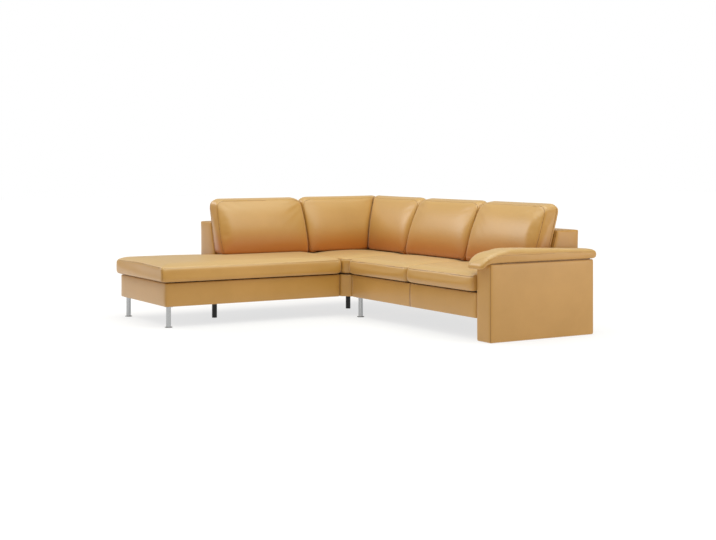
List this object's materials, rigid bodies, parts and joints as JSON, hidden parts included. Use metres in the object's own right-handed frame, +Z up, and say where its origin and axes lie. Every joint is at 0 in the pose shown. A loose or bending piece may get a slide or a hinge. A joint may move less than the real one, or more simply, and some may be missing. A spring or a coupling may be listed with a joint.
{
  "type": "corner sofa",
  "caption": "Leather corner sofa with an open lounge end, a chamfered corner seat, loose leaning back cushions, one padded arm and slim chrome legs.",
  "frame": {"origin": "middle of the sofa's bounding box at floor level", "axes": "+X along the two-seater wing towards its arm, +Y towards the back of that wing, +Z up; the lounge wing runs along -Y on the low X side"},
  "size_m": [2.669, 2.426, 0.888],
  "materials": {
    "leather": "semi-smooth honey tan hide, satin",
    "timber": "sawn, unfinished",
    "webbing": "woven elastic strap, matt",
    "deck_cloth": "dark woven cover over thin wadding, matt",
    "underside_cloth": "thin non-woven cloth, matt",
    "chrome": "bright plated",
    "black_metal": "black powder coat, satin",
    "zinc": "zinc plated",
    "black_plastic": "moulded, matt"
  },
  "bodies": {
    "sofa": {"lounge_base_cover": "leather", "lounge_base_frame": "timber", "lounge_webbing": "webbing", "lounge_seat_deck": "deck_cloth", "lounge_underside_cloth": "underside_cloth", "lounge_back_cover": "leather", "corner_base_cover": "leather", "corner_base_frame": "timber", "corner_webbing": "webbing", "corner_seat_deck": "deck_cloth", "corner_underside_cloth": "underside_cloth", "corner_back_cover": "leather", "seater_base_cover": "leather", "seater_base_frame": "timber", "seater_webbing": "webbing", "seater_seat_deck": "deck_cloth", "seater_underside_cloth": "underside_cloth", "seater_back_cover": "leather", "lounge_seat_cushion": "leather", "corner_seat_cushion": "leather", "seater_seat_cushion_left": "leather", "seater_seat_cushion_right": "leather", "lounge_back_cushion": "leather", "corner_back_cushion_left": "leather", "corner_back_cushion_right": "leather", "seater_back_cushion_left": "leather", "seater_back_cushion_right": "leather", "arm_cover": "leather", "arm_pad": "leather", "lounge_back_frame": "timber", "corner_back_frame_left": "timber", "corner_back_frame_right": "timber", "seater_back_frame": "timber", "arm_core": "timber", "arm_pad_board": "timber", "leg_end_front": "chrome", "leg_end_back": "chrome", "leg_outer_corner": "chrome", "leg_seater_front": "chrome", "leg_seater_back": "chrome", "support_leg_lounge": "black_metal", "support_leg_corner": "black_metal", "arm_bolts": "zinc", "link_plates": "zinc", "arm_gliders": "black_plastic"},
    "foot_end_front": {"glide_end_front": "chrome"},
    "foot_end_back": {"glide_end_back": "chrome"},
    "foot_outer_corner": {"glide_outer_corner": "chrome"},
    "foot_seater_front": {"glide_seater_front": "chrome"},
    "foot_seater_back": {"glide_seater_back": "chrome"}
  },
  "joints": [
    {"name": "level_end_front", "type": "slide", "parent": "sofa", "child": "foot_end_front", "axis": [0, 0, -1], "range_m": [0, 0.01]},
    {"name": "level_end_back", "type": "slide", "parent": "sofa", "child": "foot_end_back", "axis": [0, 0, -1], "range_m": [0, 0.01]},
    {"name": "level_outer_corner", "type": "slide", "parent": "sofa", "child": "foot_outer_corner", "axis": [0, 0, -1], "range_m": [0, 0.01]},
    {"name": "level_seater_front", "type": "slide", "parent": "sofa", "child": "foot_seater_front", "axis": [0, 0, -1], "range_m": [0, 0.01]},
    {"name": "level_seater_back", "type": "slide", "parent": "sofa", "child": "foot_seater_back", "axis": [0, 0, -1], "range_m": [0, 0.01]}
  ]
}
